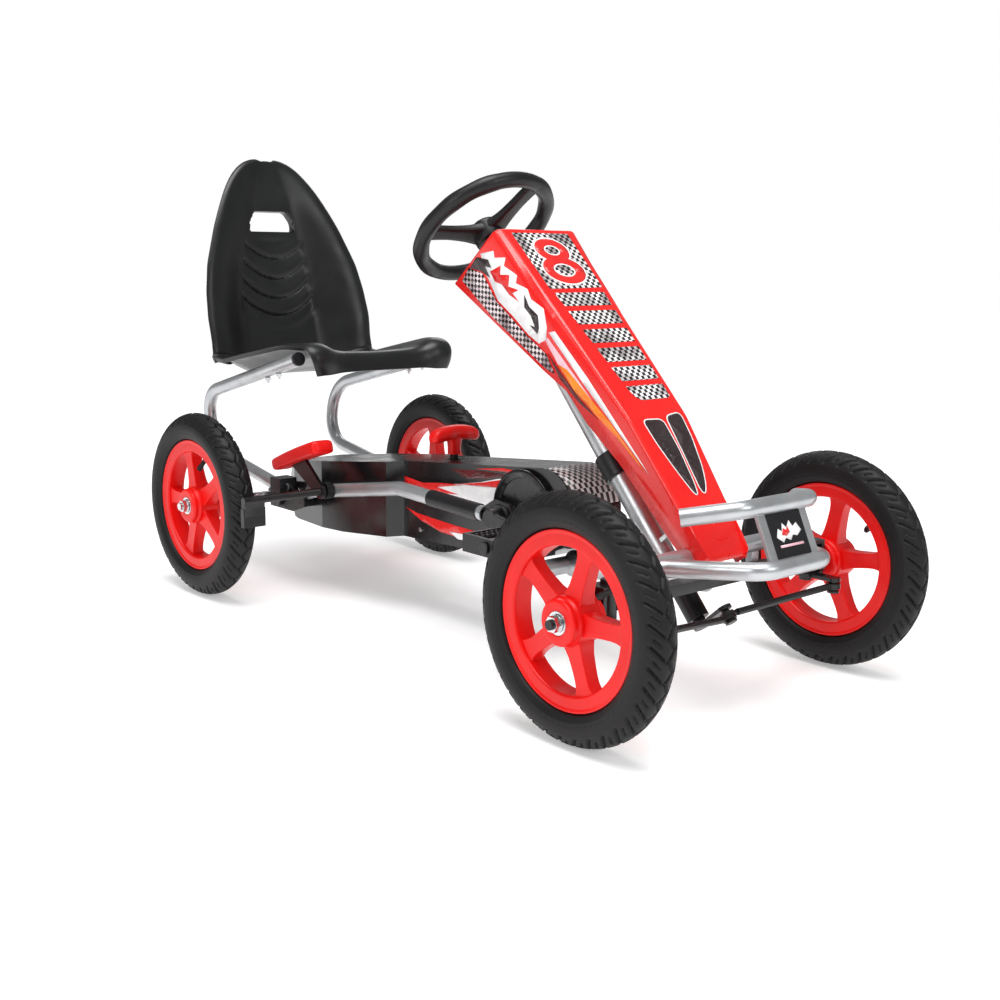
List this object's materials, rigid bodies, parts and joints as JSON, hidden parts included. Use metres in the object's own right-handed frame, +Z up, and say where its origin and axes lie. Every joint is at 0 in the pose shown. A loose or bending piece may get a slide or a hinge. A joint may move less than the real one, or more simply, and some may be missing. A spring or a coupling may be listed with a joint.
{
  "type": "pedal go kart",
  "caption": "Child's pedal go kart with a tube frame, bucket seat, chain drive to the rear axle, tall front fairing and steered front wheels.",
  "frame": {"origin": "on the floor, below the middle of the kart's bounding box", "axes": "+X forward, towards the front wheels; +Y to the driver's left; +Z up"},
  "size_m": [1.22, 0.57, 0.7202],
  "materials": {
    "tyre_rubber": "matte moulded rubber",
    "rim_red": "moulded, semi-gloss",
    "body_red": "moulded, semi-gloss with printed graphics",
    "case_black": "glossy moulded",
    "part_black": "fine-grained matte",
    "seat_black": "moulded, satin",
    "frame_silver": "silver powder coat",
    "frame_black": "black powder coat",
    "zinc_steel": "bright zinc",
    "chain_steel": "oiled",
    "reflector": "clear moulded prisms"
  },
  "bodies": {
    "frame": {"main_spine": "frame_silver", "front_cross_tube": "frame_silver", "front_axle_beam": "frame_black", "side_rail_right": "frame_silver", "side_rail_left": "frame_silver", "rear_carrier": "frame_black", "crank_plates": "frame_black", "rail_guards": "part_black", "frame_bolts": "zinc_steel", "steering_tube": "frame_silver", "column_bushes": "part_black", "fairing": "body_red", "bumper_lower_hoop": "frame_silver", "bumper_upper_hoop": "frame_silver", "bumper_posts": "frame_silver", "bumper_plate": "part_black", "rear_cover_right": "case_black", "rear_cover_left": "case_black", "front_case_right": "case_black", "front_case_left": "case_black", "crank_discs": "case_black", "chain": "chain_steel", "seat_clamps": "part_black"},
    "seat": {"seat_shell": "seat_black", "seat_tubes": "frame_silver", "seat_tube_plugs": "part_black", "seat_bolts": "zinc_steel"},
    "steering": {"steering_shaft": "frame_black", "steering_wheel": "part_black"},
    "knuckle_right": {"knuckle_right": "frame_black", "front_right_nuts": "zinc_steel"},
    "knuckle_left": {"knuckle_left": "frame_black", "front_left_nuts": "zinc_steel"},
    "tie_rod_right": {"tie_rod_right": "frame_black"},
    "tie_rod_left": {"tie_rod_left": "frame_black"},
    "front_wheel_right": {"front_right_tyre": "tyre_rubber", "front_right_rim": "rim_red", "front_right_bearings": "zinc_steel"},
    "front_wheel_left": {"front_left_tyre": "tyre_rubber", "front_left_rim": "rim_red", "front_left_bearings": "zinc_steel"},
    "rear_axle": {"rear_axle": "zinc_steel", "rear_axle_nuts": "zinc_steel", "rear_sprocket": "chain_steel", "rear_right_tyre": "tyre_rubber", "rear_right_rim": "rim_red", "rear_right_hub_rings": "zinc_steel", "rear_left_tyre": "tyre_rubber", "rear_left_rim": "rim_red", "rear_left_hub_rings": "zinc_steel"},
    "crank": {"crank": "frame_black", "chainring": "chain_steel"},
    "pedal_right": {"pedal_right": "part_black", "pedal_right_reflectors": "reflector"},
    "pedal_left": {"pedal_left": "part_black", "pedal_left_reflectors": "reflector"},
    "brake": {"brake_lever": "frame_black", "brake_grip": "body_red"},
    "selector": {"selector_lever": "part_black", "selector_handle": "body_red"}
  },
  "joints": [
    {"name": "steering_turn", "type": "hinge", "parent": "frame", "child": "steering", "pos_m": [0.007, 0, 0.593], "axis": [0.6591, 0, -0.7521], "range_deg": [-25, 25]},
    {"name": "knuckle_right_turn", "type": "hinge", "parent": "frame", "child": "knuckle_right", "pos_m": [0.461, -0.192, 0.149], "axis": [0, 0, 1], "range_deg": [-25, 25]},
    {"name": "knuckle_left_turn", "type": "hinge", "parent": "frame", "child": "knuckle_left", "pos_m": [0.461, 0.192, 0.149], "axis": [0, 0, 1], "range_deg": [-25, 25]},
    {"name": "tie_rod_right_pivot", "type": "hinge", "parent": "knuckle_right", "child": "tie_rod_right", "pos_m": [0.506, -0.192, 0.1275], "axis": [0, 0, 1], "range_deg": [-25, 25]},
    {"name": "tie_rod_left_pivot", "type": "hinge", "parent": "knuckle_left", "child": "tie_rod_left", "pos_m": [0.506, 0.192, 0.1275], "axis": [0, 0, 1], "range_deg": [-25, 25]},
    {"name": "front_wheel_right_spin", "type": "hinge", "parent": "knuckle_right", "child": "front_wheel_right", "pos_m": [0.461, -0.245, 0.149], "axis": [0, 1, 0], "continuous": true},
    {"name": "front_wheel_left_spin", "type": "hinge", "parent": "knuckle_left", "child": "front_wheel_left", "pos_m": [0.461, 0.245, 0.149], "axis": [0, 1, 0], "continuous": true},
    {"name": "rear_axle_spin", "type": "hinge", "parent": "frame", "child": "rear_axle", "pos_m": [-0.413, 0, 0.149], "axis": [0, 1, 0], "continuous": true},
    {"name": "crank_spin", "type": "hinge", "parent": "frame", "child": "crank", "pos_m": [0.157, 0, 0.2], "axis": [0, 1, 0], "continuous": true},
    {"name": "pedal_right_spin", "type": "hinge", "parent": "crank", "child": "pedal_right", "pos_m": [0.2481, 0, 0.1872], "axis": [0, 1, 0], "continuous": true},
    {"name": "pedal_left_spin", "type": "hinge", "parent": "crank", "child": "pedal_left", "pos_m": [0.0659, 0, 0.2128], "axis": [0, 1, 0], "continuous": true},
    {"name": "brake_pull", "type": "hinge", "parent": "frame", "child": "brake", "pos_m": [-0.247, 0, 0.18], "axis": [0, 1, 0], "range_deg": [0, 11.5]},
    {"name": "selector_swing", "type": "hinge", "parent": "frame", "child": "selector", "pos_m": [-0.06, 0, 0.205], "axis": [0, 1, 0], "range_deg": [-10, 10]},
    {"name": "seat_slide", "type": "slide", "parent": "frame", "child": "seat", "axis": [0.986, 0, -0.1666], "range_m": [0, 0.04]}
  ],
  "couplings": [
    {"joint": "knuckle_right_turn", "follows": "steering_turn", "ratio": -1},
    {"joint": "knuckle_left_turn", "follows": "steering_turn", "ratio": -1},
    {"joint": "tie_rod_right_pivot", "follows": "steering_turn", "ratio": 1},
    {"joint": "tie_rod_left_pivot", "follows": "steering_turn", "ratio": 1},
    {"joint": "crank_spin", "follows": "rear_axle_spin", "ratio": 0.69231}
  ]
}
